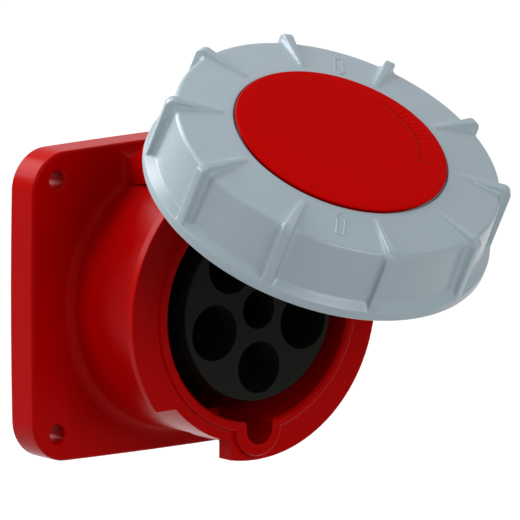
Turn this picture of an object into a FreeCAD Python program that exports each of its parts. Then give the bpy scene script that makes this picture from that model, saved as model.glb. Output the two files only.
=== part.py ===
import FreeCAD, Part
import math
import os

# Industrial panel socket for a 63 A, five pole and pilot plug, with a hinged bayonet lid.
# Millimetres. Origin: centre of the flange's back face. The socket faces -Y, +Z is up.
# Angles round the socket axis run from +X towards +Z. The lid is drawn shut, then swung open.

V = FreeCAD.Vector
os.makedirs("parts", exist_ok=True)

# Fits and gaps
running_gap = 0.06
press_gap = 0.02
small_gap = 0.1
clear_gap = 0.3

# Flange
flange_half_w = 56.2
flange_half_h = 48.4
flange_bow = 0.4
flange_thick = 10.95
flange_corner_r = 12.8
flange_edge_r = 1.0
fixing_x = 46.64
fixing_z = 39.68
fixing_hole_r = 2.9
fixing_chamfer = 0.6
pocket_wall = 3.6
pocket_depth = 7.2
fixing_boss_r = 6.6
seal_groove_r_in = 43.8
seal_groove_r_out = 46.8
seal_groove_depth = 2.2

# Drum, collar and mouth
drum_r = 41.7
drum_foot_r = 3.6
mouth_r = 35.2
lip_r = 38.3
lip_y = -51.9
lip_round = 0.9
lip_foot = 1.2
collar_r = 47.5
collar_y = -49.6
collar_stop_thick = 6.1
collar_entry_thick = 2.5
collar_hold_thick = 3.5
notch_x = 9.3
notch_z = 28.1
entry_angle = 216.0
stop_angle = 100.0
key_half_w = 5.0
key_centre_z = -37.2
key_lip_half_w = 8.7
key_bulge_half_w = 6.5
key_depth = 27.0

# Back of the housing
seat_r = 41.0
seat_y = -6.5
seal_thick = 1.0
screw_circle_r = 38.3
screw_angles = (45.0, 135.0, 225.0, 315.0)
screw_shank_r = 1.9
screw_head_r = 3.3
screw_head_h = 2.2
screw_depth = 13.0

# Hinge
hinge_y = -29.10
hinge_z = 50.99
hinge_pin_r = 2.0
cheek_r = 4.4
cheek_in = 15.6
cheek_out = 21.0
bracket_root_z = 40.6
bracket_low_z = 35.6
bracket_foot_r = 3.0
bracket_web_y = -22.6
bracket_web_z = 44.0
bracket_web_slope_y = -20.0
knuckle_r = 4.2
knuckle_half = 14.6
washer_thick = 0.8
lid_open_angle = 59.5

# Contact insert
insert_r = 28.5
insert_face_y = -51.4
spigot_r = 27.2
spigot_len = 4.0
contact_circle_r = 18.11
phase_hole_r = 8.69
earth_hole_r = 8.05
pilot_hole_r = 6.1
hole_lip_depth = 5.6
hole_step = 0.35

# Contact sleeves: bore radius, wall, front end, terminal radius and wire bore
phase_bore = 4.05
earth_bore = 5.05
pilot_bore = 3.05
sleeve_wall = 1.95
pilot_wall = 1.5
phase_front_y = -28.0
earth_front_y = -31.0
pilot_front_y = -26.0
sleeve_slit = 0.8
sleeve_slit_len = 15.0
spring_wide = 3.0
spring_thick = 0.7
spring_set_back = 2.2
sleeve_room_depth = 8.0
terminal_extra = 1.0
terminal_front_y = -1.5
terminal_back_y = 23.0
wire_wall = 2.5
wire_depth = 15.0
clamp_r = 2.7
pilot_clamp_r = 1.8
clamp_clear = 0.1
clamp_ys = (11.0, 18.5)

# Terminal block
block_r = 33.0
block_back_y = 28.5
block_flange_y = 1.2
block_front_y = seat_y + seal_thick
well_step = 0.9

# Lid ring, heights measured forward from the datum plane of the shut lid
lid_datum_y = -63.3
hub_r = 30.0
ring_seat_gap = 0.5
ring_seat_h = 2.0
cone_in_h = 3.5
cone_out_h = 1.25
ring_shoulder_round = 1.4
skirt_gap = 2.55
wall_thick = 2.9
wall_draft = 0.55
rim_h = -22.0
rim_tall = 3.2
rim_slope = 2.2
rim_wide = 5.7
rim_draft = 0.1
ring_ceiling_h = -1.0
rib_count = 10
rib_phase = 2.3
rib_tip_r = 36.6
rib_rise_r = 38.6
rib_h = 3.4
rib_set_in = 0.2
rib_round = 2.8
rib_half_in = 0.8
rib_half_out = 1.8
rib_crest_round = 0.7
lug_angle = 56.3
lug_half = 12.0
lug_r = 43.3
lug_gap = 0.25
arrow_tip_r = 36.9
arrow_head_r = 39.7
arrow_tail_r = 47.0
arrow_head_half = 2.0
arrow_shaft_half = 1.25
arrow_line = 0.45
arrow_depth = 0.35

# Lid plate, seal and disc
plate_h = -2.2
plate_r = 43.0
plate_thick = 4.0
gasket_gap = 0.3
gasket_in = 34.6
gasket_out = 39.4
gasket_tall = 3.7
gasket_wall = 2.0
key_pad_half = 9.0
strap_in = 47.95
strap_out = 49.65
strap_half = 8.2
disc_r = 34.1
disc_gap = 0.15
disc_top_h = 4.75
disc_edge_round = 2.2
disc_screw_circle = 22.0

# Ring sizes that follow from the collar, the disc and the walls
ring_seat_r = disc_r + ring_seat_gap
skirt_r = collar_r + skirt_gap
wall_foot_r = skirt_r + wall_thick
cone_out_r = wall_foot_r - wall_draft
rim_r = skirt_r + rim_wide
rim_top_h = rim_h + rim_tall
wall_foot_h = rim_top_h + rim_slope
rib_out_r = rim_r - rib_set_in


def polar(radius, angle, y=0.0):
    a = math.radians(angle)
    return V(radius * math.cos(a), y, radius * math.sin(a))


def corner(before, here, after, radius):
    """Tangent points and middle point of the arc that rounds one corner."""
    u = (before - here).normalize()
    w = (after - here).normalize()
    half = math.acos(max(-1.0, min(1.0, u.dot(w)))) / 2.0
    run = radius / math.tan(half)
    centre = here + (u + w).normalize() * (radius / math.sin(half))
    middle = centre + (here - centre).normalize() * radius
    return here + u * run, middle, here + w * run


def outline(points):
    """Closed wire through (vector, corner radius) pairs."""
    starts = []
    ends = []
    edges = []
    count = len(points)
    for i in range(count):
        here, radius = points[i]
        if radius > 0.0:
            first, middle, last = corner(points[i - 1][0], here, points[(i + 1) % count][0], radius)
            edges.append((i, Part.Arc(first, middle, last).toShape()))
        else:
            first, last = here, here
        starts.append(first)
        ends.append(last)
    chain = []
    arcs = dict(edges)
    for i in range(count):
        if i in arcs:
            chain.append(arcs[i])
        a = ends[i]
        b = starts[(i + 1) % count]
        if a.distanceToPoint(b) > 1e-6:
            chain.append(Part.makeLine(a, b))
    return Part.Wire(chain)


def turned(points, start=0.0, sweep=360.0):
    """Turn a profile of (radius, y) or (radius, y, corner radius) about the socket axis."""
    wire = outline([(V(p[0], p[1], 0.0), p[2] if len(p) > 2 else 0.0) for p in points])
    solid = Part.Face(wire).revolve(V(0, 0, 0), V(0, -1, 0), sweep)
    if start:
        solid.rotate(V(0, 0, 0), V(0, -1, 0), start)
    return solid


def tube(r_in, r_out, y_a, y_b, x=0.0, z=0.0):
    low = min(y_a, y_b)
    tall = abs(y_b - y_a)
    body = Part.makeCylinder(r_out, tall, V(x, low, z), V(0, 1, 0))
    if r_in > 0.0:
        body = body.cut(Part.makeCylinder(r_in, tall + 2, V(x, low - 1, z), V(0, 1, 0)))
    return body


def rod(radius, y_a, y_b, x=0.0, z=0.0):
    return tube(0.0, radius, y_a, y_b, x, z)


def along_x(radius, x_a, x_b, y, z):
    return Part.makeCylinder(radius, abs(x_b - x_a), V(min(x_a, x_b), y, z), V(1, 0, 0))


def block(x_a, x_b, y_a, y_b, z_a, z_b):
    low = V(min(x_a, x_b), min(y_a, y_b), min(z_a, z_b))
    return Part.makeBox(abs(x_b - x_a), abs(y_b - y_a), abs(z_b - z_a), low)


def side_plate(points, x_a, x_b):
    """Extrude a (y, z) or (y, z, corner radius) profile along X."""
    wire = outline([(V(x_a, p[0], p[1]), p[2] if len(p) > 2 else 0.0) for p in points])
    return Part.Face(wire).extrude(V(x_b - x_a, 0, 0))


def front_plate(points, y_a, y_b):
    """Extrude an (x, z) or (x, z, corner radius) profile along Y."""
    wire = outline([(V(p[0], y_a, p[1]), p[2] if len(p) > 2 else 0.0) for p in points])
    return Part.Face(wire).extrude(V(0, y_b - y_a, 0))


def key_shape(half_w, top_z, y_a, y_b):
    """U-shaped bar that follows the keyway, round at the bottom."""
    bar = block(-half_w, half_w, y_a, y_b, key_centre_z, top_z)
    return bar.fuse(rod(half_w, y_a, y_b, 0.0, key_centre_z)).removeSplitter()


def bowed_edge(a, b, bow):
    mid = (a + b) * 0.5
    out = V(mid.x, 0, 0) if abs(a.x - b.x) < 1e-6 else V(0, 0, mid.z)
    return Part.Arc(a, mid + out.normalize() * bow, b).toShape()


def flange_outline(inset, y):
    """Rounded rectangle with slightly bowed sides."""
    w = flange_half_w - inset
    h = flange_half_h - inset
    r = flange_corner_r - inset
    c = r * math.cos(math.radians(45))
    corners = []
    for sx, sz in ((1, 1), (-1, 1), (-1, -1), (1, -1)):
        centre = V(sx * (w - r), y, sz * (h - r))
        on_side = centre + V(sx * r, 0, 0)
        on_top = centre + V(0, 0, sz * r)
        corners.append((on_side, centre + V(sx * c, 0, sz * c), on_top))
    edges = []
    for i, (on_side, middle, on_top) in enumerate(corners):
        nxt = corners[(i + 1) % 4]
        first, last = (on_side, on_top) if i % 2 == 0 else (on_top, on_side)
        edges.append(Part.Arc(first, middle, last).toShape())
        target = nxt[2] if i % 2 == 0 else nxt[0]
        edges.append(bowed_edge(last, target, flange_bow))
    return Part.Wire(edges)


def helical_tool(start, end, y_start, y_end, r_in, r_out, tall):
    """Bar of rectangular section that climbs along the collar's back from start to end."""
    sweep = end - start
    climb = y_start - y_end
    helix = Part.makeHelix(climb * 360.0 / sweep, climb, r_in)
    section = Part.Wire(Part.makePolygon([V(r_in, 0, 0), V(r_out, 0, 0), V(r_out, 0, -tall),
                                          V(r_in, 0, -tall), V(r_in, 0, 0)]))
    bar = Part.Wire(helix).makePipeShell([section], True, True)
    bar.rotate(V(0, 0, 0), V(1, 0, 0), 90)
    bar.rotate(V(0, 0, 0), V(0, -1, 0), start)
    bar.translate(V(0, y_start, 0))
    return bar


def near(value, target, tolerance=0.05):
    return abs(value - target) < tolerance


def circle_edges(shape, radius, y, tolerance=0.05):
    """Circular edges about the socket axis with one radius at one depth."""
    found = []
    for edge in shape.Edges:
        curve = edge.Curve
        if isinstance(curve, Part.Circle) and near(curve.Radius, radius, tolerance):
            if near(curve.Center.y, y, tolerance) and math.hypot(curve.Center.x, curve.Center.z) < 0.1:
                found.append(edge)
    return found


def turned_over(shape, angle=180.0):
    copy = shape.copy()
    copy.rotate(V(0, 0, 0), V(0, -1, 0), angle)
    return copy


def group(shapes):
    return Part.makeCompound(shapes)


def save(name, shape):
    shape.exportStep("parts/" + name + ".step")


def swing(shape):
    """Carry a piece of the shut lid to the open position of the photo."""
    shape.rotate(V(0, hinge_y, hinge_z), V(-1, 0, 0), lid_open_angle)
    return shape


def height(h):
    """Depth along Y of a height above the lid's datum plane."""
    return lid_datum_y - h


# Contact positions: angle, bore, wall, front end, hole radius
contacts = {
    "contact_e": (270.0, earth_bore, sleeve_wall, earth_front_y, earth_hole_r),
    "contact_l1": (342.0, phase_bore, sleeve_wall, phase_front_y, phase_hole_r),
    "contact_l2": (54.0, phase_bore, sleeve_wall, phase_front_y, phase_hole_r),
    "contact_l3": (126.0, phase_bore, sleeve_wall, phase_front_y, phase_hole_r),
    "contact_n": (198.0, phase_bore, sleeve_wall, phase_front_y, phase_hole_r),
}
pilot = (0.0, pilot_bore, pilot_wall, pilot_front_y, pilot_hole_r)
pilot_clamp_angle = 306.0


def contact_place(name):
    if name == "contact_pilot":
        return 0.0, 0.0
    spot = polar(contact_circle_r, contacts[name][0])
    return spot.x, spot.z


# Housing: flange
def make_flange():
    plate = Part.Face(flange_outline(0.0, 0.0)).extrude(V(0, -flange_thick, 0))
    front = [e for e in plate.Edges if near(e.BoundBox.YMin, -flange_thick) and near(e.BoundBox.YMax, -flange_thick)]
    plate = plate.makeFillet(flange_edge_r, front)
    pocket = Part.Face(flange_outline(pocket_wall, 1.0)).extrude(V(0, -pocket_depth - 1, 0))
    pocket = pocket.cut(rod(seal_groove_r_out + 2.4, 2, -flange_thick))
    for sx in (-1, 1):
        for sz in (-1, 1):
            pocket = pocket.cut(rod(fixing_boss_r, 2, -flange_thick, sx * fixing_x, sz * fixing_z))
    plate = plate.cut(pocket)
    for sx in (-1, 1):
        for sz in (-1, 1):
            x = sx * fixing_x
            z = sz * fixing_z
            cone = Part.makeCone(fixing_hole_r + fixing_chamfer + 0.1, fixing_hole_r, fixing_chamfer + 0.1,
                                 V(x, -flange_thick - 0.1, z), V(0, 1, 0))
            plate = plate.cut(rod(fixing_hole_r, 1, -flange_thick - 1, x, z)).cut(cone)
    return plate


# Housing: bayonet collar with back ramps and stops
def make_collar():
    back = collar_y + collar_stop_thick
    floor = drum_r - 1.0
    collar = tube(floor - 1.0, collar_r, collar_y, back)
    collar = collar.makeFillet(0.5, circle_edges(collar, collar_r, collar_y))
    slope = (collar_hold_thick - collar_entry_thick) / (entry_angle - stop_angle)
    last = entry_angle + 10.0
    tail = collar_y + collar_entry_thick - slope * (last - entry_angle)
    ramp = helical_tool(stop_angle, last, collar_y + collar_hold_thick, tail, floor, collar_r + 3, 6.0)
    for angle in (0.0, 180.0):
        collar = collar.cut(turned_over(ramp, angle))
    return collar


def make_notch_tool():
    back = collar_y + collar_stop_thick
    notch = block(-collar_r - 2, -notch_x, collar_y - 3, back + 1, -collar_r - 2, -notch_z)
    return notch.cut(rod(drum_r, collar_y - 4, back + 2))


# Housing: hinge bracket of two cheeks on a web
def make_bracket():
    root_y = -flange_thick
    root_z = bracket_root_z
    run = V(hinge_y - root_y, hinge_z - root_z, 0)
    base_angle = math.atan2(run.y, -run.x)
    lean = base_angle + math.asin(cheek_r / run.Length)
    touch_y = hinge_y + cheek_r * math.sin(lean)
    touch_z = hinge_z + cheek_r * math.cos(lean)
    front_y = hinge_y - cheek_r
    low_z = bracket_low_z
    cheek = side_plate([(root_y + 2, low_z), (root_y + 2, root_z - 2 * math.tan(lean)), (touch_y, touch_z),
                        (hinge_y, hinge_z), (front_y, hinge_z), (front_y, low_z + 3, 3.0)], cheek_in, cheek_out)
    cheek = cheek.fuse(along_x(cheek_r, cheek_in, cheek_out, hinge_y, hinge_z))
    web = side_plate([(root_y + 2, low_z + 1), (root_y + 2, root_z - 2 * math.tan(lean)),
                      (bracket_web_slope_y, root_z + (root_y - bracket_web_slope_y) * math.tan(lean), 1.5),
                      (bracket_web_y, bracket_web_z, 2.0), (bracket_web_y, low_z + 1)],
                     -cheek_in - 1, cheek_in + 1)
    pair = cheek.fuse(cheek.mirror(V(0, 0, 0), V(1, 0, 0))).fuse(web).removeSplitter()
    bore = along_x(hinge_pin_r + press_gap, -cheek_out - 1, cheek_out + 1, hinge_y, hinge_z)
    return pair.cut(bore)


def bracket_foot_edges(shape):
    """Edges where the cheeks' outer faces and the bracket's top meet the flange."""
    found = []
    for edge in shape.Edges:
        box = edge.BoundBox
        on_face = near(box.YMin, -flange_thick) and near(box.YMax, -flange_thick)
        side = near(box.XMin, box.XMax) and near(abs(box.XMin), cheek_out)
        top = near(box.ZMin, bracket_root_z) and near(box.ZMax, bracket_root_z)
        if on_face and (side and box.ZMin > bracket_low_z - 0.1 or top and abs(box.XMin) < cheek_out + 0.1):
            found.append(edge)
    return found


# Housing: rounded bead round the mouth and its loop round the keyway
def make_lip():
    bead = turned([(mouth_r - 0.5, collar_y + 1), (lip_r + 2, collar_y + 1), (lip_r + 2, collar_y),
                   (lip_r, collar_y, lip_foot), (lip_r, lip_y, lip_round), (mouth_r - 0.5, lip_y)])
    loop = key_shape(key_lip_half_w, -30.0, collar_y + 1, lip_y)
    rim = [e for e in loop.Edges if near(e.BoundBox.YMin, lip_y) and near(e.BoundBox.YMax, lip_y)
           and e.BoundBox.ZMin < key_centre_z + 0.1]
    return bead.fuse(loop.makeFillet(lip_round, rim))


def make_housing():
    foot = drum_r + drum_foot_r
    drum = turned([(mouth_r, 0), (foot - 1, 0), (foot - 1, 0.5 - flange_thick), (drum_r, 0.5 - flange_thick),
                   (drum_r, collar_y), (mouth_r, collar_y)])
    housing = drum.fuse(make_collar())
    notch = make_notch_tool()
    for angle in (0.0, 180.0):
        housing = housing.cut(turned_over(notch, angle))
    ring_foot = tube(drum_r - 0.5, foot, -flange_thick - drum_foot_r, 0.5 - flange_thick)
    cove = Part.makeTorus(foot, drum_foot_r, V(0, -flange_thick - drum_foot_r, 0), V(0, 1, 0))
    bulge = key_shape(key_bulge_half_w, -34.0, collar_y + 0.5, lip_y + key_depth + 3.0)
    flange = make_flange().fuse(make_bracket()).removeSplitter()
    flange = flange.makeFillet(bracket_foot_r, bracket_foot_edges(flange))
    for piece in (ring_foot.cut(cove), flange, make_lip(), bulge):
        housing = housing.fuse(piece)
    bore = turned([(0, 1), (seat_r, 1), (seat_r, seat_y), (mouth_r, seat_y), (mouth_r, lip_y + 0.8),
                   (mouth_r + 0.8, lip_y), (mouth_r + 0.8, lip_y - 2), (0, lip_y - 2)])
    housing = housing.cut(bore).cut(key_shape(key_half_w, -20.0, lip_y - 2, lip_y + key_depth))
    housing = housing.cut(tube(seal_groove_r_in, seal_groove_r_out, 1, -seal_groove_depth))
    for angle in screw_angles:
        spot = polar(screw_circle_r, angle)
        housing = housing.cut(rod(screw_shank_r - 0.25, seat_y + 1, seat_y - screw_depth, spot.x, spot.z))
    return housing.removeSplitter()


# Sleeve, terminal and wire bore turned from one bar, with slits in the spring end
def make_contact(name):
    angle, bore, wall, front, hole = contacts.get(name, pilot)
    outer = bore + wall
    back_r = outer + terminal_extra
    x, z = contact_place(name)
    metal = rod(outer, front, terminal_front_y, x, z).fuse(rod(back_r, terminal_front_y, terminal_back_y, x, z))
    metal = metal.cut(rod(bore, front - 1, terminal_front_y - 2.0, x, z))
    wire_r = back_r - wire_wall
    metal = metal.cut(rod(wire_r, terminal_back_y - wire_depth, terminal_back_y + 1, x, z))
    lead = Part.makeCone(bore + 0.8, bore, 0.8, V(x, front, z), V(0, 1, 0))
    metal = metal.cut(lead)
    for turn in (0.0, 90.0):
        slit = block(-outer - 1, outer + 1, front - 1, front + sleeve_slit_len, -sleeve_slit / 2, sleeve_slit / 2)
        slit.rotate(V(0, 0, 0), V(0, 1, 0), turn + 45.0)
        slit.translate(V(x, 0, z))
        metal = metal.cut(slit)
    for tool in clamp_tools(name, 0.0):
        metal = metal.cut(tool)
    return metal.removeSplitter()


def clamp_tools(name, extra):
    """Cylinders where the clamp screws sit, grown by extra."""
    angle, bore, wall, front, hole = contacts.get(name, pilot)
    back_r = bore + wall + terminal_extra
    wire_r = back_r - wire_wall
    x, z = contact_place(name)
    centre = name == "contact_pilot"
    turn = pilot_clamp_angle if centre else angle
    radius = pilot_clamp_r if centre else clamp_r
    levels = clamp_ys[1:] if centre else clamp_ys
    reach = 26.0 if centre else back_r + 4.0
    tools = []
    for level in levels:
        start = V(x, level, z) + polar(wire_r + clamp_clear, turn)
        tools.append(Part.makeCylinder(radius + extra, reach - wire_r - clamp_clear, start, polar(1.0, turn)))
    return tools


def make_clamp_screws():
    screws = []
    for name in list(contacts) + ["contact_pilot"]:
        turn = pilot_clamp_angle if name == "contact_pilot" else contacts[name][0]
        for shank in clamp_tools(name, -press_gap):
            reach = max(v.Point.dot(polar(1.0, turn)) for v in shank.Vertexes)
            slot = block(reach - 1.2, reach + 1, -0.4, 0.4, -6, 6)
            slot.rotate(V(0, 0, 0), V(0, -1, 0), turn)
            slot.translate(V(0, shank.BoundBox.Center.y, 0))
            screws.append(shank.cut(slot))
    return group(screws)


def make_insert():
    rear_y = block_front_y + spigot_len
    body = turned([(0, rear_y), (spigot_r, rear_y, 0.5), (spigot_r, block_front_y), (insert_r, block_front_y),
                   (insert_r, insert_face_y, 0.6), (0, insert_face_y)])
    for name in list(contacts) + ["contact_pilot"]:
        angle, bore, wall, front, hole = contacts.get(name, pilot)
        outer = bore + wall
        x, z = contact_place(name)
        lip_end = insert_face_y + hole_lip_depth
        sleeve_room = outer + spring_thick + clear_gap
        body = body.cut(rod(hole, insert_face_y - 1, lip_end, x, z))
        body = body.cut(rod(hole - hole_step, lip_end - 1, front - 0.5, x, z))
        body = body.cut(rod(sleeve_room, front - 1, front + sleeve_room_depth, x, z))
        body = body.cut(rod(outer + small_gap, front, rear_y + 1, x, z))
    return body.removeSplitter()


def make_sleeve_springs():
    rings = []
    for name in list(contacts) + ["contact_pilot"]:
        angle, bore, wall, front, hole = contacts.get(name, pilot)
        outer = bore + wall
        x, z = contact_place(name)
        start = front + spring_set_back
        ring = tube(outer + 0.02, outer + spring_thick, start, start + spring_wide, x, z)
        gap = block(x - 0.4, x + 0.4, start - 1, start + spring_wide + 1, z, z + outer + 2)
        rings.append(ring.cut(gap))
    return group(rings)


def make_insert_seal():
    seal = tube(mouth_r + 0.6, seat_r - clear_gap, seat_y, seat_y + seal_thick)
    for angle in screw_angles:
        spot = polar(screw_circle_r, angle)
        seal = seal.cut(rod(screw_shank_r + small_gap, seat_y - 1, seat_y + 3, spot.x, spot.z))
    return seal


# Terminal block with wire wells at the back and screwdriver ports round the side
def make_block():
    front = block_front_y + spigot_len
    body = turned([(0, front), (spigot_r + small_gap, front), (spigot_r + small_gap, block_front_y),
                   (seat_r - clear_gap, block_front_y), (seat_r - clear_gap, block_flange_y),
                   (block_r, block_flange_y), (block_r, block_back_y, 1.2), (0, block_back_y)])
    for name in list(contacts) + ["contact_pilot"]:
        angle, bore, wall, front_y, hole = contacts.get(name, pilot)
        back_r = bore + wall + terminal_extra
        x, z = contact_place(name)
        body = body.cut(rod(back_r + small_gap, front - 1, terminal_back_y + 0.5, x, z))
        body = body.cut(rod(back_r - well_step, terminal_back_y, block_back_y + 1, x, z))
        turn = pilot_clamp_angle if name == "contact_pilot" else angle
        radius = pilot_clamp_r if name == "contact_pilot" else clamp_r
        levels = clamp_ys[1:] if name == "contact_pilot" else clamp_ys
        for level in levels:
            body = body.cut(Part.makeCylinder(radius + 0.4, block_r + 2, V(x, level, z), polar(1.0, turn)))
    for angle in screw_angles:
        spot = polar(screw_circle_r, angle)
        body = body.cut(rod(screw_shank_r + small_gap, block_front_y - 1, block_flange_y + 1, spot.x, spot.z))
        body = body.cut(rod(screw_head_r + clear_gap, block_flange_y, block_flange_y + 4, spot.x, spot.z))
    return body.removeSplitter()


def make_screw(head_r, head_h, shank_r, length, slot_deep):
    """Pan-head screw along -Y, head seat at the origin, cross recess in the head."""
    screw = turned([(0, head_h), (head_r, head_h, 0.5), (head_r, 0), (shank_r, 0), (shank_r, -length, 0.5),
                    (0, -length)])
    for turn in (0.0, 90.0):
        slot = block(-head_r * 0.6, head_r * 0.6, head_h - slot_deep, head_h + 1, -0.4, 0.4)
        slot.rotate(V(0, 0, 0), V(0, 1, 0), turn)
        screw = screw.cut(slot)
    return screw


def make_insert_screws():
    screws = []
    length = block_flange_y - seat_y + screw_depth - 2.0
    for angle in screw_angles:
        screw = make_screw(screw_head_r, screw_head_h, screw_shank_r - 0.27, length, 1.2)
        screw.translate(polar(screw_circle_r, angle, block_flange_y))
        screws.append(screw)
    return group(screws)


def make_flange_gasket():
    mid = (seal_groove_r_in + seal_groove_r_out) / 2.0
    half = (seal_groove_r_out - seal_groove_r_in) / 2.0 - 0.15
    return turned([(mid - half, -seal_groove_depth, 0.4), (mid + half, -seal_groove_depth, 0.4),
                   (mid + half, 0, 0.9), (mid - half, 0, 0.9)])


def make_pin():
    pin = along_x(hinge_pin_r, -cheek_out - 0.1, cheek_out + 2.6, hinge_y, hinge_z)
    pin = pin.fuse(along_x(hinge_pin_r + 1.4, -cheek_out - 1.7, -cheek_out - 0.1, hinge_y, hinge_z))
    head = [e for e in pin.Edges if near(e.BoundBox.XMin, -cheek_out - 1.7) and near(e.BoundBox.XMax, -cheek_out - 1.7)]
    pin = pin.makeFillet(0.6, head)
    groove = along_x(hinge_pin_r + 1, cheek_out + 0.3, cheek_out + 1.2, hinge_y, hinge_z)
    groove = groove.cut(along_x(hinge_pin_r - 0.4, cheek_out, cheek_out + 2, hinge_y, hinge_z))
    return pin.cut(groove)


def make_pin_clip():
    clip = along_x(hinge_pin_r + 2.0, cheek_out + 0.35, cheek_out + 1.15, hinge_y, hinge_z)
    clip = clip.cut(along_x(hinge_pin_r - 0.38, cheek_out, cheek_out + 2, hinge_y, hinge_z))
    mouth = block(cheek_out, cheek_out + 2, hinge_y - 5, hinge_y, hinge_z - 0.9, hinge_z + 0.9)
    window = along_x(1.1, cheek_out, cheek_out + 2, hinge_y, hinge_z + hinge_pin_r + 0.4)
    return clip.cut(mouth).cut(window)


def make_hinge_washers():
    rings = []
    for side in (-1, 1):
        start = side * (knuckle_half + (cheek_in - knuckle_half - washer_thick) / 2.0)
        end = start + side * washer_thick
        ring = along_x(knuckle_r - 0.4, start, end, hinge_y, hinge_z)
        rings.append(ring.cut(along_x(hinge_pin_r + running_gap, start - 3, end + 3, hinge_y, hinge_z)))
    return group(rings)


# Lid plate with hub, seal boss, strap and knuckle
def make_lid():
    top = height(plate_h)
    under = height(plate_h - plate_thick)
    gasket_face = lip_y - gasket_gap
    boss_end = gasket_face - 1.5
    plate = turned([(0, top), (plate_r, top, 0.6), (plate_r, under, 0.6), (0, under)])
    boss = tube(gasket_in - gasket_wall, gasket_out + gasket_wall, under - 0.5, boss_end)
    hub_top = height(ring_seat_h)
    hub = turned([(hub_r - 4.0, top + 0.5), (hub_r, top + 0.5), (hub_r, hub_top, 0.3), (hub_r - 4.0, hub_top)])
    pad = key_shape(key_pad_half + gasket_wall - 0.6, -36.0, top, boss_end)
    body = plate.fuse([boss, hub, pad])
    for angle in (90.0, 210.0, 330.0):
        spot = polar(disc_screw_circle, angle)
        body = body.fuse(rod(4.2, top + 0.5, hub_top, spot.x, spot.z))
        body = body.cut(rod(2.2, under + 2, hub_top - 2, spot.x, spot.z))
        body = body.cut(rod(3.6, under + 2, under - 1.6, spot.x, spot.z))
    groove = tube(gasket_in - small_gap, gasket_out + small_gap, boss_end + 1, gasket_face - gasket_tall)
    pocket = key_shape(key_pad_half, -36.0, boss_end + 1, gasket_face - gasket_tall)
    pocket = pocket.cut(rod(gasket_in - small_gap, 0, 2 * lid_datum_y))
    body = body.cut(groove).cut(pocket)
    strap_front = top + 1.0
    strap_back = hinge_y - 1.0
    strap = tube(strap_in, strap_out, strap_front, strap_back)
    strap = strap.common(block(-strap_half, strap_half, strap_front, strap_back, 0, 2 * strap_out))
    arm = tube(plate_r - 1.5, strap_out, strap_front, under).common(
        block(-strap_half, strap_half, strap_front, under, 0, 2 * strap_out))
    wing_front = height(rim_h) + 1.1
    wing = Part.Face(outline([(V(-strap_half, wing_front, strap_in), 0), (V(strap_half, wing_front, strap_in), 0),
                              (V(knuckle_half, wing_front + 5.0, strap_in), 1.5),
                              (V(knuckle_half, hinge_y, strap_in), 0),
                              (V(-knuckle_half, hinge_y, strap_in), 0),
                              (V(-knuckle_half, wing_front + 5.0, strap_in), 1.5)])).extrude(V(0, 0, 2.2))
    barrel = along_x(knuckle_r, -knuckle_half, knuckle_half, hinge_y, hinge_z)
    heel = side_plate([(wing_front + 3.0, strap_in + 1), (hinge_y, strap_in + 1), (hinge_y, hinge_z + 3.0),
                       (hinge_y - 3.4, hinge_z + 1.8)], -knuckle_half, knuckle_half)
    body = body.fuse([strap, arm, wing, barrel, heel])
    body = body.cut(along_x(hinge_pin_r + running_gap, -20, 20, hinge_y, hinge_z))
    return body.removeSplitter()


def make_lid_gasket():
    face = lip_y - gasket_gap
    ring = tube(gasket_in, gasket_out, face, face - gasket_tall)
    pad = key_shape(key_pad_half - small_gap, -36.0, face, face - gasket_tall)
    pad = pad.cut(rod(gasket_in, 0, 2 * lid_datum_y))
    return ring.fuse(pad).removeSplitter()


def make_slide_washer():
    return tube(hub_r + 0.6, plate_r - 1.0, height(plate_h) - 0.02, height(ring_ceiling_h) + small_gap)


def make_disc():
    under = height(ring_seat_h + disc_gap)
    top = height(disc_top_h)
    disc = turned([(0, under), (disc_r, under, 0.2), (disc_r, top, disc_edge_round), (0, top)])
    for angle in (90.0, 210.0, 330.0):
        spot = polar(disc_screw_circle, angle)
        disc = disc.cut(rod(1.45, under + 1, under - 1.9, spot.x, spot.z))
    return disc.removeSplitter()


def make_lid_screws():
    screws = []
    seat = height(plate_h - plate_thick) - 1.6
    length = seat - (height(ring_seat_h + disc_gap) - 1.7)
    for angle in (90.0, 210.0, 330.0):
        screw = make_screw(3.2, 1.3, 1.42, length, 0.8)
        screw.translate(polar(disc_screw_circle, angle, seat))
        screws.append(screw)
    return group(screws)


def cone_height(radius):
    """Height of the ring's sloping top face at a radius."""
    share = (radius - ring_seat_r) / (cone_out_r - ring_seat_r)
    return cone_in_h + (cone_out_h - cone_in_h) * share


# One grip rib: side profile narrowed towards its tip
def make_rib():
    profile = [(rib_tip_r, height(1.0)), (rib_tip_r, height(cone_height(rib_tip_r))),
               (rib_rise_r, height(rib_h)), (rib_out_r, height(rib_h), rib_round),
               (rib_out_r, height(rim_h + 1.2)), (rim_r - 0.8, height(rim_h + 0.4)),
               (skirt_r + 0.8, height(rim_h + 0.4)), (skirt_r + 0.8, height(0.2)), (skirt_r - 2.0, height(0.2))]
    wire = outline([(V(p[0], p[1], -4.0), p[2] if len(p) > 2 else 0.0) for p in profile])
    fin = Part.Face(wire).extrude(V(0, 0, 8.0))
    far = rim_r + 3.0
    plan = outline([(V(rib_tip_r - 1, height(8), -rib_half_in), 0), (V(far, height(8), -rib_half_out), 0),
                    (V(far, height(8), rib_half_out), 0), (V(rib_tip_r - 1, height(8), rib_half_in), 0)])
    fin = fin.common(Part.Face(plan).extrude(V(0, 40, 0)))
    crest = [e for e in fin.Edges if is_crest(e)]
    return fin.makeFillet(rib_crest_round, crest)


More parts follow.
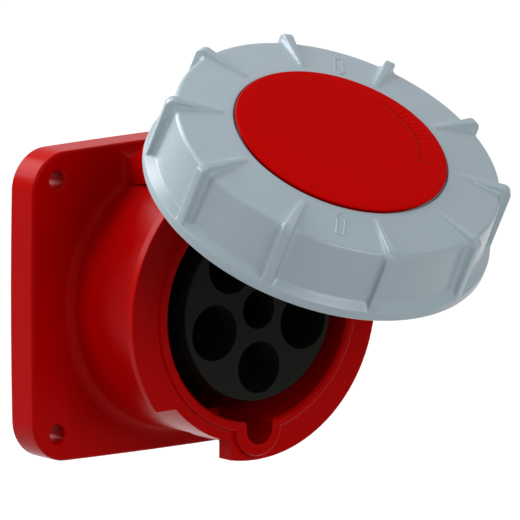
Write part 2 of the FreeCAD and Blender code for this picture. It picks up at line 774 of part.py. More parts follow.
def is_crest(edge):
    """Long edges along the rib's crest, shoulder and outer face."""
    box = edge.BoundBox
    if box.ZMax * box.ZMin <= 0:
        return False
    mid = edge.valueAt((edge.FirstParameter + edge.LastParameter) / 2.0)
    on_top = near(mid.y, height(rib_h), 0.02)
    outer = mid.x > rib_out_r - rib_round - 0.05 and edge.Length > 0.5
    return on_top or outer and mid.y < height(rim_h + 1.2)


def arrow_outline(grow):
    """Corner points of an arrow that points at the lid's centre, as radius and width pairs."""
    g = grow
    return [(arrow_tip_r - 1.4 * g, 0.0), (arrow_head_r + g, arrow_head_half + 1.6 * g),
            (arrow_head_r + g, arrow_shaft_half + g), (arrow_tail_r + g, arrow_shaft_half + g),
            (arrow_tail_r + g, -arrow_shaft_half - g), (arrow_head_r + g, -arrow_shaft_half - g),
            (arrow_head_r + g, -arrow_head_half - 1.6 * g)]


def make_arrow_tool():
    shapes = []
    for grow in (arrow_line / 2.0, -arrow_line / 2.0):
        wire = outline([(V(p[0], 0, p[1]), 0) for p in arrow_outline(grow)])
        shapes.append(Part.Face(wire).extrude(V(0, 4, 0)))
    tool = shapes[0].cut(shapes[1])
    tool.translate(V(0, -4 + arrow_depth, 0))
    tilt = math.degrees(math.atan2(cone_in_h - cone_out_h, cone_out_r - ring_seat_r))
    tool.translate(V(-ring_seat_r, 0, 0))
    tool.rotate(V(0, 0, 0), V(0, 0, 1), tilt)
    tool.translate(V(ring_seat_r, height(cone_in_h), 0))
    tool.rotate(V(0, 0, 0), V(0, -1, 0), lug_angle)
    return tool


def make_ring():
    profile = [(hub_r + running_gap, height(ring_ceiling_h)), (hub_r + running_gap, height(ring_seat_h)),
               (ring_seat_r, height(ring_seat_h)), (ring_seat_r, height(cone_in_h), 0.4),
               (cone_out_r, height(cone_out_h), ring_shoulder_round), (wall_foot_r, height(wall_foot_h), 0.6),
               (rim_r - rim_draft, height(rim_top_h), 0.6), (rim_r, height(rim_h), 0.8),
               (skirt_r, height(rim_h), 0.5), (skirt_r, height(ring_ceiling_h), 1.6)]
    rib = make_rib()
    ribs = [turned_over(rib, rib_phase + i * 360.0 / rib_count) for i in range(rib_count)]
    ring = turned(profile).fuse(ribs)
    lug_front = collar_y + collar_hold_thick + lug_gap
    lug = turned([(lug_r, lug_front, 0.8), (skirt_r + 1.0, lug_front), (skirt_r + 1.0, height(rim_h) - 1.0),
                  (skirt_r, height(rim_h) - 0.5), (lug_r, height(rim_h), 0.6)], lug_angle - lug_half, 2 * lug_half)
    arrow = make_arrow_tool()
    for angle in (0.0, 180.0):
        ring = ring.fuse(turned_over(lug, angle)).cut(turned_over(arrow, angle))
    return ring.removeSplitter()


save("housing", make_housing())
save("insert", make_insert())
save("insert_seal", make_insert_seal())
save("terminal_block", make_block())
for contact_name in list(contacts) + ["contact_pilot"]:
    save(contact_name, make_contact(contact_name))
save("sleeve_springs", make_sleeve_springs())
save("terminal_screws", make_clamp_screws())
save("insert_screws", make_insert_screws())
save("flange_gasket", make_flange_gasket())
save("hinge_pin", make_pin())
save("pin_clip", make_pin_clip())
save("hinge_washers", make_hinge_washers())
save("lid", swing(make_lid()))
save("lid_gasket", swing(make_lid_gasket()))
save("slide_washer", swing(make_slide_washer()))
save("lid_disc", swing(make_disc()))
save("lid_screws", swing(make_lid_screws()))
save("bayonet_ring", swing(make_ring()))
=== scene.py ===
import math

import bpy
import numpy as np
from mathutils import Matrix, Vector


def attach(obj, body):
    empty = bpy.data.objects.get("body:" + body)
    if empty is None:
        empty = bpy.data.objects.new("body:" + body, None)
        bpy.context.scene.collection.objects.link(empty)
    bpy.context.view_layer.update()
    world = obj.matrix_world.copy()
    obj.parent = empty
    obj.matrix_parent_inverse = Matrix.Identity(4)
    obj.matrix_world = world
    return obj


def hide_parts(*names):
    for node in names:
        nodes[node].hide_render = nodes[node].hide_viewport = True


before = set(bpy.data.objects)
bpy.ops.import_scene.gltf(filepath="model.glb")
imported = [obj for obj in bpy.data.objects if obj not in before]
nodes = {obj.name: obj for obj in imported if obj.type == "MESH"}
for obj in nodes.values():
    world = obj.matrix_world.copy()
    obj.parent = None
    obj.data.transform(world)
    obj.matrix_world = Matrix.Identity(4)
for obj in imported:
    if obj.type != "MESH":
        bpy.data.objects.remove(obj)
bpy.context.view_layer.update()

# Camera: turned and raised as in the photograph, far off with a long lens
VIEW_AZIMUTH = -37.973
VIEW_ELEVATION = 10.076
VIEW_WIDTH = 0.15956
VIEW_RIGHT = 0.03202
VIEW_UP = 0.00804
VIEW_DEPTH = 0.050
VIEW_DISTANCE = 6.5
SENSOR = 36.0


def view_axes(azimuth, elevation):
    """Right, up and back vectors of a camera that stands at an azimuth and an elevation."""
    a, e = math.radians(azimuth), math.radians(elevation)
    right = Vector((math.cos(a), math.sin(a), 0.0))
    back = Vector((math.sin(a) * math.cos(e), -math.cos(a) * math.cos(e), math.sin(e)))
    return right, back.cross(right), back


def make_camera():
    """Camera with a long lens that frames the width given, aimed at a point set by its own axes."""
    right, up, back = view_axes(VIEW_AZIMUTH, VIEW_ELEVATION)
    target = right * VIEW_RIGHT + up * VIEW_UP + back * VIEW_DEPTH
    data = bpy.data.cameras.new("camera")
    data.sensor_width = SENSOR
    data.lens = SENSOR * VIEW_DISTANCE / VIEW_WIDTH
    data.clip_start = 0.5
    data.clip_end = 40.0
    cam = bpy.data.objects.new("camera", data)
    cam.location = target + back * VIEW_DISTANCE
    cam.rotation_mode = "QUATERNION"
    cam.rotation_quaternion = (-back).to_track_quat("-Z", "Y")
    bpy.context.scene.collection.objects.link(cam)
    bpy.context.scene.camera = cam


# Shut lid and hinge as in the solids, in millimetres: depth of the lid's datum plane, hinge line and swing
LID_DATUM_Y = -63.3
HINGE_Y = -29.10
HINGE_Z = 50.99
LID_SWING = math.radians(59.5)

# Ring sections as (radius, height, corner radius), heights above the lid's datum plane
HUB_BORE_R = 30.06
SEAT_CORNER = (34.6, 3.5, 0.2)
SHOULDER = (52.4, 1.25, 1.4)
WALL_FOOT = (52.95, -16.6, 0.9)
RIM_TOP = (55.65, -18.8, 0.7)
RIM_EDGE = (55.75, -22.0, 0.8)
SKIRT_EDGE = (50.05, -22.0, 0.5)
CEILING_CORNER = (50.05, -1.0, 1.6)
SEAT_H = 2.0

# Disc: a lip with a rounded edge over a neck set in below it, and the flat faces that close its section
DISC_R = 34.1
DISC_TOP = 4.4
DISC_UNDER = 2.15
DISC_EDGE = 0.5
DISC_LIP_LOW = 3.8
DISC_LIP_EDGE = 0.1
DISC_NECK_R = 33.0
DISC_FACE_R = 29.1
DISC_BACK_R = 29.0

# Grip ribs: a rib climbs from its tip, runs level at RIB_H and turns down the wall to the rim
RIB_COUNT = 10
RIB_PHASE = 2.3
RIB_TIP_R = 36.6
RIB_RISE_R = 38.6
RIB_H = 3.4
RIB_OUT_R = 55.55
RIB_CORNER = 2.8
RIB_HALF_IN = 0.8
RIB_HALF_OUT = 1.8
RIB_CREST_ROUND = 0.55
RIB_ROOT_ROUND = 1.5
RIB_DRAFT = 0.1

# Bayonet lugs, with a section like the ring's, and pointing arrows, outlined as (radius, across) points
LUG_ANGLE = 56.3
LUG_HALF = 12.0
LUG_SECTION = [(43.3, -17.45, 0.8), (51.05, -17.45, 0.0), (51.05, -21.0, 0.0), (50.05, -21.5, 0.0),
               (43.3, -22.0, 0.6)]
ARROW = [(36.9, 0.0), (39.7, 2.0), (39.7, 1.25), (47.0, 1.25), (47.0, -1.25), (39.7, -1.25), (39.7, -2.0)]
ARROW_CORNER = 0.18
ARROW_LINE = 0.30
ARROW_PROUD = 0.24
ARROW_SUNK = 0.1

# Sunk sweep on the disc: centre in millimetres, ribbed band in line widths, half of the bar in radians,
# the ribs' wave as its phase per radian and its height beside the line's depth, and how much painted shade
# darkens the sunk line and bar
SWEEP_CENTRE = (3.1, 3.0)
SWEEP_BAND = 8.0
SWEEP_BAR_HALF = 1.0 / 60.0
SWEEP_RIB_RATE = 90.0
SWEEP_RIB_HEIGHT = 0.12
SWEEP_PAINTED_SHADE = 0.45

# Surface finish: depth of relief in metres and how far the gloss follows the grain
RELIEF_DEPTH = 0.0002
GLOSS_SPREAD = 0.04

# Studio: floor in metres, light from all round, and the white that camera and reflections see
FLOOR_HALF = 30.0
FLOOR_Z = -0.30
FLOOR_TONE = 0.45
FLOOR_GLOW = 0.85
AMBIENT = 0.36
SEEN_BY_CAMERA = 1.0
SEEN_IN_GLOSS = 0.8

# Round lamps as name, azimuth, elevation, size in metres and power in watts, all as far from one point
LAMP_DISTANCE = 1.2
LAMP_TARGET = (0.0, -0.06, 0.01)
LAMPS = [
    ("back_low", -158.0, 31.0, 0.70, 9.5),
    ("back_high", -160.0, 60.0, 0.40, 3.6),
    ("key", -115.0, 28.0, 0.40, 3.6),
    ("front", -5.0, 20.0, 0.60, 4.4),
]


def corner_arc(before, corner, after, steps):
    """Points of the arc that rounds one corner of an outline and touches both of its runs."""
    here = np.array(corner[:2])
    u = np.array(before[:2]) - here
    w = np.array(after[:2]) - here
    u /= np.linalg.norm(u)
    w /= np.linalg.norm(w)
    if corner[2] == 0.0:
        return here[None, :]
    half = math.acos(float(u @ w)) / 2.0
    centre = here + (u + w) / np.linalg.norm(u + w) * corner[2] / math.sin(half)
    first = here + u * corner[2] / math.tan(half) - centre
    last = here + w * corner[2] / math.tan(half) - centre
    share = np.linspace(0.0, 1.0, steps)[:, None]
    turn = math.pi - 2.0 * half
    return centre + (np.sin((1.0 - share) * turn) * first + np.sin(share * turn) * last) / math.sin(turn)


def run(start, end, steps):
    """Points strictly between two ends of a straight run."""
    share = np.linspace(0.0, 1.0, steps + 2)[1:-1, None]
    return start + (end - start) * share


def rounded_outline(corners, arc_steps=6, run_steps=2):
    """Closed outline through (across, height, corner radius) corners: arcs joined by straight runs."""
    count = len(corners)
    arcs = [corner_arc(corners[i - 1], corners[i], corners[(i + 1) % count], arc_steps)
            for i in range(count)]
    parts = []
    for i in range(count):
        parts += [arcs[i], run(arcs[i][-1], arcs[(i + 1) % count][0], run_steps)]
    return np.vstack(parts)


def open_lid(x, height, z):
    """Points of the shut lid swung about the hinge to the open pose, in metres."""
    y = LID_DATUM_Y - height - HINGE_Y
    up = z - HINGE_Z
    c, s = math.cos(LID_SWING), math.sin(LID_SWING)
    return np.stack([x, HINGE_Y + y * c + up * s, HINGE_Z - y * s + up * c], axis=-1) / 1000.0


def grid_faces(rows, columns, close_rows, close_columns):
    """Quads of a grid of rows by columns, joined round where it is closed."""
    i = np.arange(rows if close_rows else rows - 1)
    j = np.arange(columns if close_columns else columns - 1)
    i, j = np.meshgrid(i, j, indexing="ij")
    k, m = (i + 1) % rows, (j + 1) % columns
    quads = np.stack([i * columns + j, i * columns + m, k * columns + m, k * columns + j], axis=-1)
    return quads.reshape(-1, 4)


def make_piece(name, parts, mat, body, smooth_angle=35.0):
    """One mesh from (points, quads, end faces) parts, shaded smooth but for edges sharper than an angle."""
    points, faces, start = [], [], 0
    for vertices, quads, ends in parts:
        points.append(vertices.reshape(-1, 3))
        faces += (quads + start).tolist() + (ends + start).tolist()
        start += len(points[-1])
    data = bpy.data.meshes.new(name)
    data.from_pydata(np.vstack(points).tolist(), [], faces)
    data.update()
    data.shade_smooth()
    data.set_sharp_from_angle(angle=math.radians(smooth_angle))
    data.materials.append(mat)
    piece = bpy.data.objects.new(name, data)
    bpy.context.scene.collection.objects.link(piece)
    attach(piece, body)
    return piece


NO_ENDS = np.zeros((0, 4), dtype=int)


def ring_stations():
    """Section of the ring, and the lift from each of its points to the matching point of a rib's crest."""
    seat = corner_arc((SEAT_CORNER[0], SEAT_H), SEAT_CORNER, SHOULDER, 5)
    shoulder = corner_arc(SEAT_CORNER, SHOULDER, WALL_FOOT, 9)
    foot = corner_arc(SHOULDER, WALL_FOOT, RIM_TOP, 6)
    rim_top = corner_arc(WALL_FOOT, RIM_TOP, RIM_EDGE, 7)
    tip = seat[-1] + (shoulder[0] - seat[-1]) * (RIB_TIP_R - seat[-1][0]) / (shoulder[0][0] - seat[-1][0])
    rise = tip + (shoulder[0] - tip) * (RIB_RISE_R - RIB_TIP_R) / (RIB_OUT_R - RIB_CORNER - RIB_TIP_R)
    cone = np.vstack([tip[None], run(tip, rise, 5), rise[None], run(rise, shoulder[0], 18)])
    wall = run(shoulder[-1], foot[0], 14)
    slope = run(foot[-1], rim_top[0], 3)
    crest_corner = (RIB_OUT_R, RIB_H, RIB_CORNER)
    crest_arc = corner_arc((RIB_TIP_R, RIB_H), crest_corner, (RIB_OUT_R, RIM_TOP[1]), len(shoulder))
    along = (cone[:, 0] - tip[0]) / (shoulder[0][0] - tip[0])
    crest_r = RIB_TIP_R + along * (crest_arc[0][0] - RIB_TIP_R)
    climb = np.clip((crest_r - RIB_TIP_R) / (RIB_RISE_R - RIB_TIP_R), 0.0, 1.0)
    crest_cone = np.stack([crest_r, cone[:, 1] + (RIB_H - cone[:, 1]) * climb], axis=1)
    low = foot[0][1] - 1.0
    crest_wall = run(crest_arc[-1], np.array([RIB_OUT_R, low]), len(wall))
    lower = np.vstack([foot, slope, rim_top])
    meet = np.interp(RIB_OUT_R, lower[:, 0], lower[:, 1])
    down = low + (lower[:, 1] - foot[0][1]) * (meet - low) / (meet - foot[0][1])
    inside = lower[:, 0] < RIB_OUT_R
    crest_low = np.where(inside[:, None], np.stack([np.full(len(lower), RIB_OUT_R), down], axis=1), lower)
    rim_edge = corner_arc(RIM_TOP, RIM_EDGE, SKIRT_EDGE, 6)
    skirt_edge = corner_arc(RIM_EDGE, SKIRT_EDGE, CEILING_CORNER, 5)
    ceiling = corner_arc(SKIRT_EDGE, CEILING_CORNER, (HUB_BORE_R, CEILING_CORNER[1]), 6)
    rest = np.vstack([run(rim_top[-1], rim_edge[0], 2), rim_edge,
                      run(rim_edge[-1], skirt_edge[0], 3), skirt_edge,
                      run(skirt_edge[-1], ceiling[0], 5), ceiling,
                      [(HUB_BORE_R, CEILING_CORNER[1]), (HUB_BORE_R, SEAT_H), (SEAT_CORNER[0], SEAT_H)]])
    base = np.vstack([seat, cone, shoulder, wall, lower, rest])
    crest = np.vstack([seat, crest_cone, crest_arc, crest_wall, crest_low, rest])
    return base, crest - base


def rib_section(length):
    """Half of a rib's cross-section, from its foot to its crest, for each length of lift.

    It gives the distance out from the rib's flank and the share of the lift. The foot is a hollow quarter
    turn, the flank leans a little, and the crest's edge is a round quarter turn."""
    turn = np.linspace(0.0, math.pi / 2.0, 6)
    root = np.minimum(RIB_ROOT_ROUND / length, 0.5)[:, None]
    edge = np.minimum(RIB_CREST_ROUND / length, 0.5)[:, None]
    foot_across = RIB_DRAFT + RIB_ROOT_ROUND * (1.0 - np.sin(turn)) + 0.0 * root
    foot_share = root * (1.0 - np.cos(turn))
    edge_across = -RIB_CREST_ROUND * (1.0 - np.cos(turn)) + 0.0 * edge
    edge_share = 1.0 - edge * (1.0 - np.sin(turn))
    return np.hstack([foot_across, edge_across]), np.hstack([foot_share, edge_share])


def make_ring_body():
    """Ring of the lid: a section turned about the ring's axis, lifted to the rib's crest across each rib.

    Rows follow the section and columns go round. Over a rib a column keeps its distance from the rib's
    middle plane, and between two ribs the columns share the angle evenly."""
    base, lift = ring_stations()
    length = np.maximum(np.hypot(lift[:, 0], lift[:, 1]), 0.001)
    r = base[:, 0]
    outward = np.clip((r - RIB_TIP_R) / (RIB_OUT_R - RIB_TIP_R), 0.0, 1.0)
    half = RIB_HALF_IN + (RIB_HALF_OUT - RIB_HALF_IN) * outward
    across, share = rib_section(length)
    side = half[:, None] + across
    t = np.hstack([-side, np.zeros((len(r), 1)), side[:, ::-1]])
    f = np.hstack([share, np.ones((len(r), 1)), share[:, ::-1]])
    x = np.sqrt(r[:, None] ** 2 - t ** 2) + lift[:, :1] * f
    h = base[:, 1:] + lift[:, 1:] * f
    pitch = 2.0 * math.pi / RIB_COUNT
    edge = np.arcsin(t[:, -1] / r)
    between = edge[:, None] + (pitch - 2.0 * edge[:, None]) * np.linspace(0.0, 1.0, 12)[1:-1]
    x = np.hstack([x, r[:, None] * np.cos(between)])
    t = np.hstack([t, r[:, None] * np.sin(between)])
    h = np.hstack([h, np.repeat(base[:, 1:], between.shape[1], axis=1)])
    turn = math.radians(RIB_PHASE) + pitch * np.arange(RIB_COUNT)[None, :, None]
    ring_x = x[:, None, :] * np.cos(turn) - t[:, None, :] * np.sin(turn)
    ring_z = x[:, None, :] * np.sin(turn) + t[:, None, :] * np.cos(turn)
    ring_h = np.repeat(h[:, None, :], RIB_COUNT, axis=1)
    points = open_lid(ring_x, ring_h, ring_z).reshape(len(r), -1, 3)
    return points, grid_faces(*points.shape[:2], True, True)[:, ::-1], NO_ENDS


def make_lug(angle):
    """Bayonet lug: its section carried round an arc inside the skirt, closed at both ends."""
    section = rounded_outline(LUG_SECTION, 5, 1)
    turn = np.radians(np.linspace(angle - LUG_HALF, angle + LUG_HALF, 21))
    r, h = section[:, :1], np.repeat(section[:, 1:], len(turn), axis=1)
    points = open_lid(r * np.cos(turn), h, r * np.sin(turn))
    rows, columns = points.shape[:2]
    first = np.arange(rows) * columns
    ends = np.stack([first, first[::-1] + columns - 1])
    return points, grid_faces(rows, columns, True, False)[:, ::-1], ends


def make_disc():
    """Disc: its edge's section turned about the ring's axis, closed by flat faces above and below.

    The section is a lip with rounded edges, then a neck set in below it."""
    top = corner_arc((0.0, DISC_TOP), (DISC_R, DISC_TOP, DISC_EDGE), (DISC_R, DISC_UNDER), 8)
    lip = corner_arc((DISC_R, DISC_TOP), (DISC_R, DISC_LIP_LOW, DISC_LIP_EDGE), (0.0, DISC_LIP_LOW), 3)
    neck = [(DISC_NECK_R, DISC_LIP_LOW), (DISC_NECK_R, DISC_UNDER), (DISC_BACK_R, DISC_UNDER)]
    section = np.vstack([[(DISC_FACE_R, DISC_TOP)], top, lip, neck])
    turn = np.linspace(0.0, 2.0 * math.pi, 181)[:-1]
    r, h = section[:, :1], np.repeat(section[:, 1:], len(turn), axis=1)
    points = open_lid(r * np.cos(turn), h, r * np.sin(turn))
    rows, columns = points.shape[:2]
    first = np.arange(columns)
    ends = np.stack([first[::-1], (rows - 1) * columns + first])
    return points, grid_faces(rows, columns, False, True)[:, ::-1], ends


def cone_height(radius):
    """Height of the ring's top face at a radius."""
    share = (radius - SEAT_CORNER[0]) / (SHOULDER[0] - SEAT_CORNER[0])
    return SEAT_CORNER[1] + (SHOULDER[1] - SEAT_CORNER[1]) * share


def make_arrow(angle):
    """Raised line round an arrow: a low half-round section carried along the arrow's closed outline."""
    path = rounded_outline([(a, b, ARROW_CORNER) for a, b in ARROW], 4, 10)
    ahead = np.roll(path, -1, axis=0) - np.roll(path, 1, axis=0)
    ahead /= np.linalg.norm(ahead, axis=1)[:, None]
    bend = np.linspace(0.0, math.pi, 7)
    off = np.cos(bend) * ARROW_LINE
    rise = np.sin(bend) * ARROW_PROUD
    rise[0] = -ARROW_SUNK
    rise[-1] = -ARROW_SUNK
    r = path[:, :1] - ahead[:, 1:] * off
    w = path[:, 1:] + ahead[:, :1] * off
    h = cone_height(r) + rise
    turn = math.radians(angle)
    points = open_lid(r * math.cos(turn) - w * math.sin(turn), h, r * math.sin(turn) + w * math.cos(turn))
    return points, grid_faces(*points.shape[:2], True, True), NO_ENDS


def clear_tree(tree):
    """Empty a node tree and give it back."""
    tree.nodes.clear()
    return tree


def calc(tree, operation, *inputs):
    """Add a Math node and feed it sockets or numbers."""
    node = tree.nodes.new("ShaderNodeMath")
    node.operation = operation
    for slot, value in zip(node.inputs, inputs):
        if isinstance(value, (int, float)):
            slot.default_value = value
        else:
            tree.links.new(value, slot)
    return node.outputs[0]


def ramp(tree, value, start, end):
    """Smooth rise from 0 at one value to 1 at the other."""
    node = tree.nodes.new("ShaderNodeMapRange")
    node.interpolation_type = "SMOOTHSTEP"
    node.inputs["From Min"].default_value = start
    node.inputs["From Max"].default_value = end
    tree.links.new(value, node.inputs["Value"])
    return node.outputs["Result"]


def new_group(name, inputs, outputs):
    """Empty shader group that takes a vector and named numbers and puts out named numbers."""
    group = bpy.data.node_groups.new(name, "ShaderNodeTree")
    face = group.interface
    face.new_socket("Vector", in_out="INPUT", socket_type="NodeSocketVector")
    for label, value in inputs:
        socket = face.new_socket(label, in_out="INPUT", socket_type="NodeSocketFloat")
        socket.default_value = value
    for label in outputs:
        face.new_socket(label, in_out="OUTPUT", socket_type="NodeSocketFloat")
    return group, group.nodes.new("NodeGroupInput"), group.nodes.new("NodeGroupOutput")


def grain_group():
    """Moulded surface: fine spark-eroded grain with a gloss that follows it, and a slow change of tone."""
    inputs = [("Grain Scale", 4000.0), ("Tone Scale", 30.0), ("Tone Amount", 0.05), ("Roughness", 0.4),
              ("Roughness Spread", 0.05)]
    group, source, sink = new_group("moulded_surface", inputs, ["Height", "Tone", "Roughness"])
    link = group.links.new
    grain = group.nodes.new("ShaderNodeTexNoise")
    grain.inputs["Detail"].default_value = 3.0
    grain.inputs["Roughness"].default_value = 0.6
    link(source.outputs["Vector"], grain.inputs["Vector"])
    link(source.outputs["Grain Scale"], grain.inputs["Scale"])
    slow = group.nodes.new("ShaderNodeTexNoise")
    slow.inputs["Detail"].default_value = 2.0
    link(source.outputs["Vector"], slow.inputs["Vector"])
    link(source.outputs["Tone Scale"], slow.inputs["Scale"])
    centred = calc(group, "SUBTRACT", slow.outputs["Fac"], 0.5)
    tone = calc(group, "MULTIPLY_ADD", centred, source.outputs["Tone Amount"], 1.0)
    rough = calc(group, "MULTIPLY_ADD", grain.outputs["Fac"], source.outputs["Roughness Spread"],
                 source.outputs["Roughness"])
    link(grain.outputs["Fac"], sink.inputs["Height"])
    link(tone, sink.inputs["Tone"])
    link(rough, sink.inputs["Roughness"])
    return group


def toned(tree, colour, tone):
    """A colour, or the socket that brings one, times a tone."""
    mix = tree.nodes.new("ShaderNodeMix")
    mix.data_type = "RGBA"
    mix.blend_type = "MULTIPLY"
    mix.inputs["Factor"].default_value = 1.0
    if isinstance(colour, tuple):
        mix.inputs[6].default_value = colour
    else:
        tree.links.new(colour, mix.inputs[6])
    tree.links.new(tone, mix.inputs[7])
    return mix.outputs[2]


def moulded(name, colour, group, roughness, specular, grain=4000.0, bump=0.02, tone=0.06):
    """Moulded plastic or rubber: colour with slow tone change, grain as bump."""
    mat = bpy.data.materials.new(name)
    mat.use_nodes = True
    tree = clear_tree(mat.node_tree)
    link = tree.links.new
    out = tree.nodes.new("ShaderNodeOutputMaterial")
    shader = tree.nodes.new("ShaderNodeBsdfPrincipled")
    shader.inputs["Specular IOR Level"].default_value = specular
    link(shader.outputs[0], out.inputs["Surface"])
    place = tree.nodes.new("ShaderNodeTexCoord")
    surface = tree.nodes.new("ShaderNodeGroup")
    surface.node_tree = group
    surface.inputs["Grain Scale"].default_value = grain
    surface.inputs["Tone Amount"].default_value = tone
    surface.inputs["Roughness"].default_value = roughness
    surface.inputs["Roughness Spread"].default_value = GLOSS_SPREAD
    link(place.outputs["Object"], surface.inputs["Vector"])
    link(toned(tree, (*colour, 1.0), surface.outputs["Tone"]), shader.inputs["Base Color"])
    link(surface.outputs["Roughness"], shader.inputs["Roughness"])
    relief = tree.nodes.new("ShaderNodeBump")
    relief.inputs["Strength"].default_value = bump
    relief.inputs["Distance"].default_value = RELIEF_DEPTH
    link(surface.outputs["Height"], relief.inputs["Height"])
    link(relief.outputs["Normal"], shader.inputs["Normal"])
    return mat


def sweep_group():
    """Sunk sweep on the disc: a fine line along an arc, closed by a bar below, with faint ribs outside it,
    and painted shade that darkens the colour in the line and the bar.

    The arc's circle is centred on the incoming vector's origin, so radius and angle come from its x and y.
    The line and the ribs fade towards the arc's upper end."""
    inputs = [("Radius", 0.0242), ("Width", 0.0005), ("Top Angle", 0.78), ("Low Angle", -0.757)]
    group, source, sink = new_group("sunk_sweep", inputs, ["Height", "Shade"])
    split = group.nodes.new("ShaderNodeSeparateXYZ")
    group.links.new(source.outputs["Vector"], split.inputs[0])
    x, y = split.outputs[0], split.outputs[1]
    radius = calc(group, "SQRT", calc(group, "MULTIPLY_ADD", x, x, calc(group, "MULTIPLY", y, y)))
    angle = calc(group, "ARCTAN2", y, x)
    beyond = calc(group, "SUBTRACT", radius, source.outputs["Radius"])
    off = calc(group, "DIVIDE", beyond, source.outputs["Width"])
    from_low = calc(group, "SUBTRACT", angle, source.outputs["Low Angle"])
    to_top = calc(group, "SUBTRACT", source.outputs["Top Angle"], angle)
    span = calc(group, "MULTIPLY", ramp(group, from_low, -0.01, 0.01), ramp(group, to_top, 0.0, 0.5))
    line = calc(group, "MULTIPLY", ramp(group, calc(group, "ABSOLUTE", off), 1.0, 0.0), span)
    outside = ramp(group, off, 0.0, 2.0)
    bar_off = calc(group, "ABSOLUTE", calc(group, "DIVIDE", from_low, SWEEP_BAR_HALF))
    band = calc(group, "MULTIPLY", outside, ramp(group, off, SWEEP_BAND + 1.0, SWEEP_BAND))
    bar = calc(group, "MULTIPLY", ramp(group, bar_off, 1.0, 0.0), band)
    wave = calc(group, "SINE", calc(group, "MULTIPLY", angle, SWEEP_RIB_RATE))
    rib = calc(group, "MULTIPLY", wave, SWEEP_RIB_HEIGHT)
    ribs = calc(group, "MULTIPLY", calc(group, "MULTIPLY", rib, band), span)
    sunk = calc(group, "MAXIMUM", line, bar)
    group.links.new(calc(group, "SUBTRACT", ribs, sunk), sink.inputs["Height"])
    # Painted shade: where the line and the bar sink, the colour is darkened
    shade = calc(group, "SUBTRACT", 1.0, calc(group, "MULTIPLY", sunk, SWEEP_PAINTED_SHADE))
    group.links.new(shade, sink.inputs["Shade"])
    return group


def cover_disc_red(colour, group):
    """Glossy red of the lid's disc, with the sunk sweep beside its edge and painted shade in the sweep's
    line and bar.

    The mapping lays the open disc flat, with the sweep's centre at its origin."""
    mat = moulded("disc_red", colour, group, 0.242, 0.012, bump=0.01)
    tree = mat.node_tree
    shader = next(n for n in tree.nodes if n.type == "BSDF_PRINCIPLED")
    relief = next(n for n in tree.nodes if n.type == "BUMP")
    place = next(n for n in tree.nodes if n.type == "TEX_COORD")
    flat = tree.nodes.new("ShaderNodeMapping")
    tilt = LID_SWING - math.pi / 2.0
    centre = open_lid(SWEEP_CENTRE[0], 0.0, SWEEP_CENTRE[1])
    along = centre[1] * math.cos(tilt) - centre[2] * math.sin(tilt)
    flat.inputs["Rotation"].default_value = (tilt, 0.0, 0.0)
    flat.inputs["Location"].default_value = (-centre[0], -along, 0.0)
    tree.links.new(place.outputs["Object"], flat.inputs["Vector"])
    sweep = tree.nodes.new("ShaderNodeGroup")
    sweep.node_tree = sweep_group()
    tree.links.new(flat.outputs[0], sweep.inputs["Vector"])
    mark = tree.nodes.new("ShaderNodeBump")
    mark.inputs["Strength"].default_value = 1.0
    mark.inputs["Distance"].default_value = RELIEF_DEPTH
    tree.links.new(sweep.outputs["Height"], mark.inputs["Height"])
    tree.links.new(relief.outputs["Normal"], mark.inputs["Normal"])
    tree.links.new(mark.outputs["Normal"], shader.inputs["Normal"])
    base = shader.inputs["Base Color"].links[0].from_socket
    # Painted shade from the sweep darkens the disc's colour in its sunk line and bar
    tree.links.new(toned(tree, base, sweep.outputs["Shade"]), shader.inputs["Base Color"])
    return mat


def metal(name, colour, group, roughness):
    """Plain metal with fine turning or plating grain."""
    mat = moulded(name, colour, group, roughness, 0.5, grain=2500.0, bump=0.03, tone=0.12)
    shader = next(n for n in mat.node_tree.nodes if n.type == "BSDF_PRINCIPLED")
    shader.inputs["Metallic"].default_value = 1.0
    return mat


def dress(node, mat):
    """Give every slot of a CAD node one material."""
    data = nodes[node].data
    if not data.materials:
        data.materials.append(mat)
    for i in range(len(data.materials)):
        data.materials[i] = mat


def seen_share(tree, camera, mirrored, lighting):
    """One value where the camera looks, one for reflections and transmission, and one for plain lighting."""
    path = tree.nodes.new("ShaderNodeLightPath")
    other = calc(tree, "MAXIMUM", path.outputs["Is Glossy Ray"], path.outputs["Is Transmission Ray"])
    back = calc(tree, "MULTIPLY_ADD", other, mirrored - lighting, lighting)
    direct = calc(tree, "MULTIPLY", path.outputs["Is Camera Ray"], camera)
    rest = calc(tree, "SUBTRACT", 1.0, path.outputs["Is Camera Ray"])
    return calc(tree, "MULTIPLY_ADD", back, rest, direct)


def make_world():
    """White to the camera, a little less in reflections, and a plain level of light from all round."""
    world = bpy.data.worlds.new("studio")
    bpy.context.scene.world = world
    world.use_nodes = True
    tree = clear_tree(world.node_tree)
    out = tree.nodes.new("ShaderNodeOutputWorld")
    sky = tree.nodes.new("ShaderNodeBackground")
    sky.inputs["Color"].default_value = (1.0, 1.0, 1.0, 1.0)
    tree.links.new(sky.outputs[0], out.inputs["Surface"])
    tree.links.new(seen_share(tree, SEEN_BY_CAMERA, SEEN_IN_GLOSS, AMBIENT), sky.inputs["Strength"])


def stage_material():
    """Pale ground that reads white to the camera and still takes a shadow."""
    mat = bpy.data.materials.new("stage_white")
    mat.use_nodes = True
    tree = clear_tree(mat.node_tree)
    out = tree.nodes.new("ShaderNodeOutputMaterial")
    both = tree.nodes.new("ShaderNodeAddShader")
    matte = tree.nodes.new("ShaderNodeBsdfDiffuse")
    matte.inputs["Color"].default_value = (FLOOR_TONE, FLOOR_TONE, FLOOR_TONE, 1.0)
    glow = tree.nodes.new("ShaderNodeEmission")
    glow.inputs["Color"].default_value = (1.0, 1.0, 1.0, 1.0)
    tree.links.new(seen_share(tree, FLOOR_GLOW, FLOOR_GLOW, 0.0), glow.inputs["Strength"])
    tree.links.new(matte.outputs[0], both.inputs[0])
    tree.links.new(glow.outputs[0], both.inputs[1])
    tree.links.new(both.outputs[0], out.inputs["Surface"])
    return mat


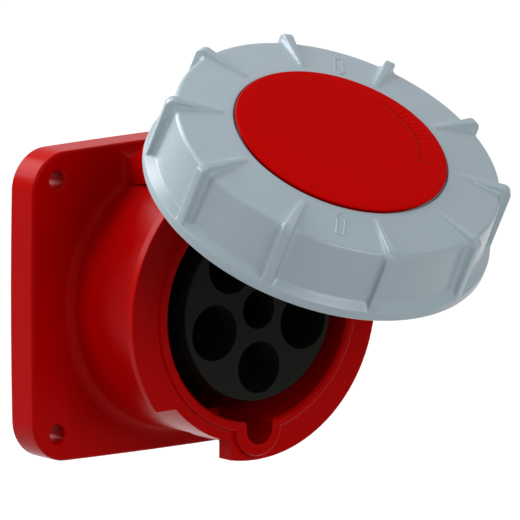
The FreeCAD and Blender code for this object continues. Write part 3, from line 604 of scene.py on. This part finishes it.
def make_stage():
    """Flat floor, well below the object."""
    corners = [(-1, -1), (1, -1), (1, 1), (-1, 1)]
    points = [(x * FLOOR_HALF, y * FLOOR_HALF, FLOOR_Z) for x, y in corners]
    data = bpy.data.meshes.new("floor")
    data.from_pydata(points, [], [(0, 1, 2, 3)])
    data.materials.append(stage_material())
    floor = bpy.data.objects.new("floor", data)
    bpy.context.scene.collection.objects.link(floor)


def lamp(name, azimuth, elevation, size, power):
    """Round area lamp at an azimuth and an elevation, turned to the object."""
    back = view_axes(azimuth, elevation)[2]
    data = bpy.data.lights.new(name, "AREA")
    data.shape = "DISK"
    data.size = size
    data.energy = power
    obj = bpy.data.objects.new(name, data)
    obj.location = Vector(LAMP_TARGET) + back * LAMP_DISTANCE
    obj.rotation_mode = "QUATERNION"
    obj.rotation_quaternion = (-back).to_track_quat("-Z", "Y")
    bpy.context.scene.collection.objects.link(obj)


bpy.context.scene.view_settings.view_transform = "Standard"
make_camera()
make_world()
make_stage()
for lamp_values in LAMPS:
    lamp(*lamp_values)

grain = grain_group()
housing_red = moulded("housing_red", (0.47, 0.0, 0.0), grain, 0.26, 0.045)
disc_red = cover_disc_red((0.56, 0.0, 0.0), grain)
ring_grey = moulded("ring_grey", (0.380, 0.470, 0.525), grain, 0.26, 0.5)
lid_grey = moulded("lid_grey", (0.36, 0.44, 0.49), grain, 0.37, 0.4)
insert_black = moulded("insert_black", (0.010, 0.010, 0.008), grain, 0.5, 0.06)
block_black = moulded("block_black", (0.02, 0.02, 0.02), grain, 0.5, 0.25)
rubber_black = moulded("rubber_black", (0.025, 0.025, 0.025), grain, 0.75, 0.2, grain=1800.0, bump=0.05)
slide_white = moulded("slide_white", (0.78, 0.77, 0.72), grain, 0.4, 0.3)
brass = metal("contact_brass", (0.72, 0.53, 0.26), grain, 0.3)
steel = metal("steel_bright", (0.62, 0.62, 0.60), grain, 0.3)

finishes = [
    (housing_red, ["housing"]),
    (disc_red, ["lid_disc"]),
    (ring_grey, ["bayonet_ring"]),
    (lid_grey, ["lid"]),
    (insert_black, ["insert"]),
    (block_black, ["terminal_block"]),
    (rubber_black, ["lid_gasket", "insert_seal", "flange_gasket"]),
    (slide_white, ["slide_washer", "hinge_washers"]),
    (brass, ["contact_l1", "contact_l2", "contact_l3", "contact_n", "contact_e", "contact_pilot"]),
    (steel, ["sleeve_springs", "terminal_screws", "insert_screws", "hinge_pin", "pin_clip", "lid_screws"]),
]
for finish, node_names in finishes:
    for node_name in node_names:
        dress(node_name, finish)

# The ring with its lugs, the disc, and the arrows, which point at the lugs
ring_parts = [make_ring_body(), make_lug(LUG_ANGLE), make_lug(LUG_ANGLE + 180.0)]
ring_shell = make_piece("ring_shell", ring_parts, ring_grey, "ring_body")
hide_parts("bayonet_ring")
disc = make_piece("cover_disc", [make_disc()], disc_red, "lid_body")
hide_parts("lid_disc")
arrow_parts = [make_arrow(LUG_ANGLE), make_arrow(LUG_ANGLE + 180.0)]
make_piece("arrow_lines", arrow_parts, ring_grey, "ring_body")
